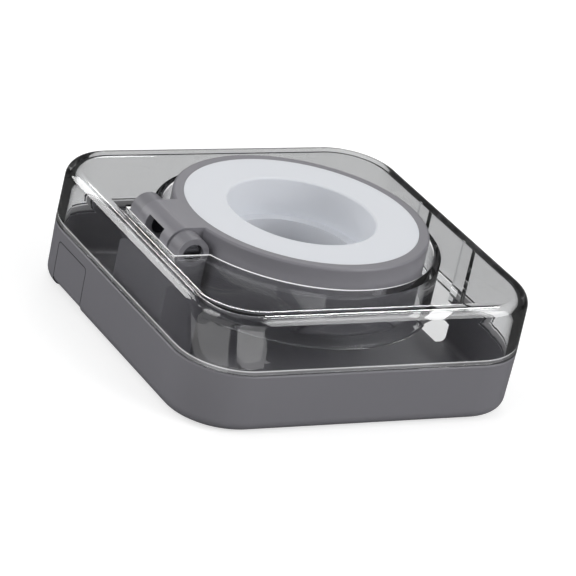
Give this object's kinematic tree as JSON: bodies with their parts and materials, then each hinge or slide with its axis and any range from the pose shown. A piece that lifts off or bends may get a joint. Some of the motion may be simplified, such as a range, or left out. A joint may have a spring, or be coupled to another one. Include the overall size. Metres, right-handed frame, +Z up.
{
  "type": "smartwatch charging dock",
  "caption": "Square charging dock with a clear keyhole lid and a round hinged holder with a soft seat for a watch charging puck.",
  "frame": {"origin": "middle of the square case, on the surface that the feet stand on", "axes": "+Z up, +Y towards the hinge and the cable door, +X to the side that the cable door is nearer to"},
  "size_m": [0.075, 0.075, 0.028],
  "materials": {
    "case_grey": "fine satin texture",
    "holder_grey": "fine satin texture",
    "clear_lid": "polished, lightly smoked",
    "soft_white": "matt silicone",
    "steel": "turned",
    "friction_plastic": "smooth",
    "foot_rubber": "matt"
  },
  "bodies": {
    "base": {"base_tray": "case_grey", "hinge_tower": "case_grey", "tower_screw_left": "steel", "tower_screw_right": "steel", "hinge_pin_left": "steel", "hinge_pin_right": "steel", "door_pin": "steel", "foot_rear_left": "foot_rubber", "foot_rear_right": "foot_rubber", "foot_front_left": "foot_rubber", "foot_front_right": "foot_rubber"},
    "holder": {"holder_cup": "holder_grey", "puck_insert": "soft_white", "friction_disc_left": "friction_plastic", "friction_disc_right": "friction_plastic", "wave_washer_left": "steel", "wave_washer_right": "steel"},
    "cover": {"clear_cover": "clear_lid"},
    "door": {"cable_door": "case_grey"}
  },
  "joints": [
    {"name": "holder_tilt", "type": "hinge", "parent": "base", "child": "holder", "pos_m": [0, 0.02835, 0.02425], "axis": [-1, 0, 0], "range_deg": [0, 90]},
    {"name": "cover_lift", "type": "slide", "parent": "base", "child": "cover", "axis": [0, 0, 1], "range_m": [0, 0.072]},
    {"name": "door_swing", "type": "hinge", "parent": "base", "child": "door", "pos_m": [0.0187, 0.0357, 0.0024], "axis": [-1, 0, 0], "range_deg": [0, 90]}
  ]
}
